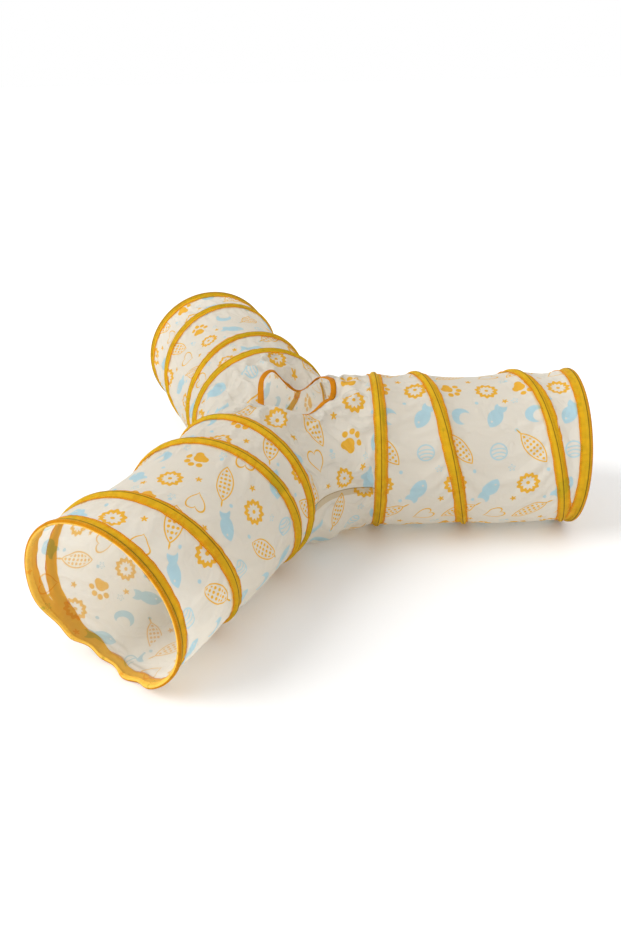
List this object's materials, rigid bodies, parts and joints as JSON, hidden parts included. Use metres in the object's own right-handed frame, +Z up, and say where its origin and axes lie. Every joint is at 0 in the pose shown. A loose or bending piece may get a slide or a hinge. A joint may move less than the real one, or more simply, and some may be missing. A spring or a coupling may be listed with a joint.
{
  "type": "cat tunnel",
  "caption": "Collapsible three-way cat tunnel: cloth arms held open by coiled spring wire under bound seams, meeting at a soft hub with a peep hole.",
  "frame": {"origin": "on the floor, under the middle of the hub", "axes": "+Z up, +X along the right arm, +Y towards the back arm's side"},
  "size_m": [0.8063, 0.9331, 0.2512],
  "materials": {
    "printed_cloth": "thin printed polyester",
    "binding_tape": "woven tape",
    "spring_steel": "drawn wire",
    "crimp_metal": "plated"
  },
  "bodies": {
    "hub": {"hub_top_panel": "printed_cloth", "hub_floor_panel": "printed_cloth", "peep_hole_binding": "binding_tape"},
    "arm_right": {"sleeve_right": "printed_cloth", "coil_wire_right": "spring_steel", "coil_binding_right": "binding_tape", "root_binding_right": "binding_tape", "root_crimp_right": "crimp_metal"},
    "mouth_right": {"mouth_binding_right": "binding_tape", "mouth_crimp_right": "crimp_metal"},
    "arm_back": {"sleeve_back": "printed_cloth", "coil_wire_back": "spring_steel", "coil_binding_back": "binding_tape", "root_binding_back": "binding_tape", "root_crimp_back": "crimp_metal"},
    "mouth_back": {"mouth_binding_back": "binding_tape", "mouth_crimp_back": "crimp_metal"},
    "arm_front": {"sleeve_front": "printed_cloth", "coil_wire_front": "spring_steel", "coil_binding_front": "binding_tape", "root_binding_front": "binding_tape", "root_crimp_front": "crimp_metal"},
    "mouth_front": {"mouth_binding_front": "binding_tape", "mouth_crimp_front": "crimp_metal"}
  },
  "joints": [
    {"name": "arm_right_swing", "type": "hinge", "parent": "hub", "child": "arm_right", "pos_m": [0.14, 0, 0.1256], "axis": [0, 0, 1], "range_deg": [-10, 10], "deforming": ["hub_top_panel", "hub_floor_panel", "peep_hole_binding"]},
    {"name": "arm_right_collapse", "type": "slide", "parent": "arm_right", "child": "mouth_right", "axis": [-1, 0, 0], "range_m": [0, 0.285], "stiffness_N_per_m": 4, "springref_m": -0.3, "deforming": ["sleeve_right", "coil_wire_right", "coil_binding_right"]},
    {"name": "arm_back_swing", "type": "hinge", "parent": "hub", "child": "arm_back", "pos_m": [-0.04926, 0.13105, 0.1256], "axis": [0, 0, 1], "range_deg": [-10, 10], "deforming": ["hub_top_panel", "hub_floor_panel", "peep_hole_binding"]},
    {"name": "arm_back_collapse", "type": "slide", "parent": "arm_back", "child": "mouth_back", "axis": [0.3518, -0.9361, 0], "range_m": [0, 0.285], "stiffness_N_per_m": 4, "springref_m": -0.3, "deforming": ["sleeve_back", "coil_wire_back", "coil_binding_back"]},
    {"name": "arm_front_swing", "type": "hinge", "parent": "hub", "child": "arm_front", "pos_m": [-0.07273, -0.11962, 0.1256], "axis": [0, 0, 1], "range_deg": [-10, 10], "deforming": ["hub_top_panel", "hub_floor_panel", "peep_hole_binding"]},
    {"name": "arm_front_collapse", "type": "slide", "parent": "arm_front", "child": "mouth_front", "axis": [0.5195, 0.8545, 0], "range_m": [0, 0.285], "stiffness_N_per_m": 4, "springref_m": -0.3, "deforming": ["sleeve_front", "coil_wire_front", "coil_binding_front"]}
  ]
}
